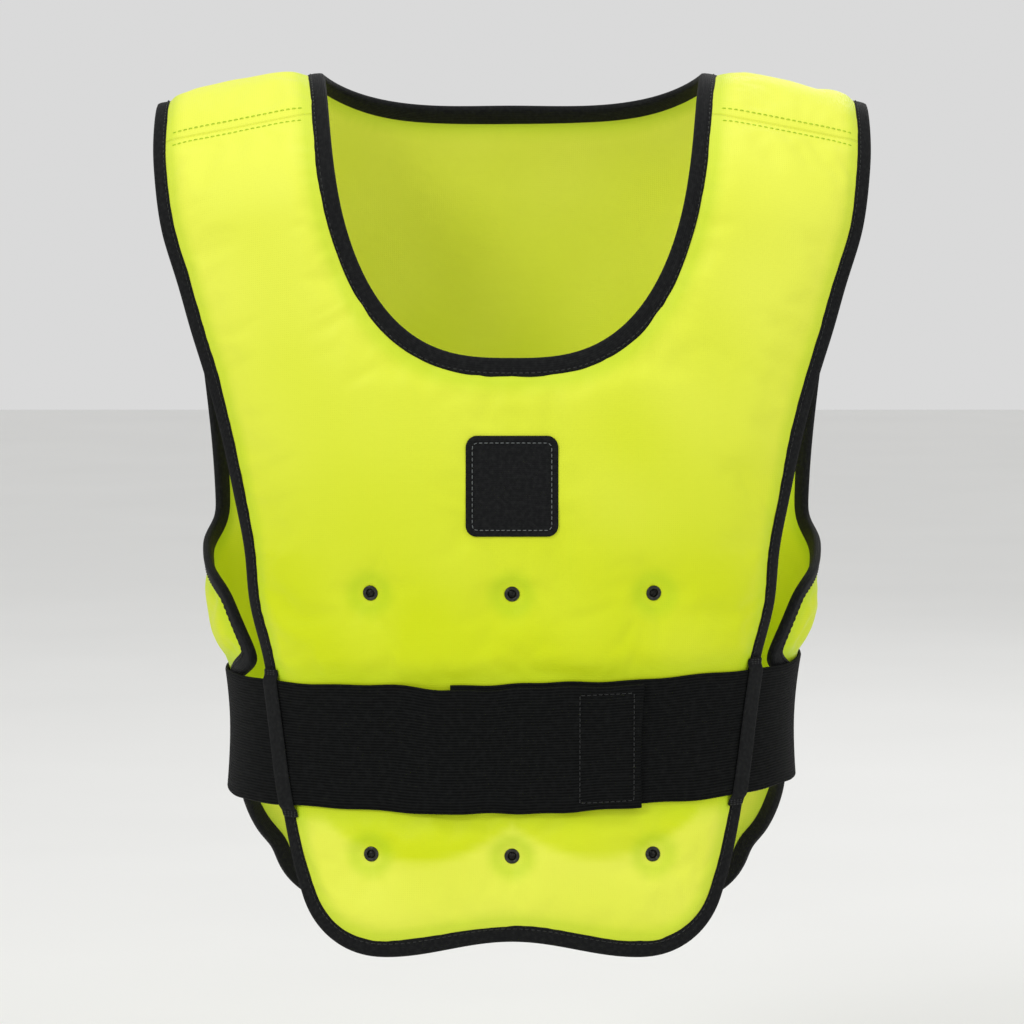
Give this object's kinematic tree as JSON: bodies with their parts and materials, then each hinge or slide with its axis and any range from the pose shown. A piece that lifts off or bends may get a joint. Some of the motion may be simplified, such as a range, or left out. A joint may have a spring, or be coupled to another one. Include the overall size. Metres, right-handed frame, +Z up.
{
  "type": "cooling vest",
  "caption": "Pull-over evaporative cooling vest in its worn form: padded front and back panels joined over the shoulders, bound edges and an elastic waistband.",
  "frame": {"origin": "midway between the wearer's shoulders, level with the top of the vest's shoulder straps", "axes": "+Z up, the front faces -Y, +X to the wearer's left"},
  "size_m": [0.419, 0.2409, 0.509],
  "materials": {
    "shell_fabric": "coated, slightly glossy lime yellow",
    "binding_fabric": "matt black woven binding",
    "elastic": "matt black ribbed elastic",
    "keeper_fabric": "matt black tape",
    "eyelet": "black lacquered",
    "patch_fabric": "matt black stitched patch"
  },
  "bodies": {
    "root": {"front_panel": "shell_fabric", "back_panel": "shell_fabric", "label_patch": "patch_fabric", "edge_binding": "binding_fabric", "neck_binding": "binding_fabric", "waistband": "elastic", "keeper_front_left": "keeper_fabric", "keeper_front_right": "keeper_fabric", "keeper_back_left": "keeper_fabric", "keeper_back_right": "keeper_fabric", "eyelet_front_1": "eyelet", "eyelet_front_2": "eyelet", "eyelet_front_3": "eyelet", "eyelet_front_4": "eyelet", "eyelet_front_5": "eyelet", "eyelet_front_6": "eyelet", "eyelet_back_1": "eyelet", "eyelet_back_2": "eyelet", "eyelet_back_3": "eyelet", "eyelet_back_4": "eyelet", "eyelet_back_5": "eyelet", "eyelet_back_6": "eyelet"}
  },
  "joints": []
}
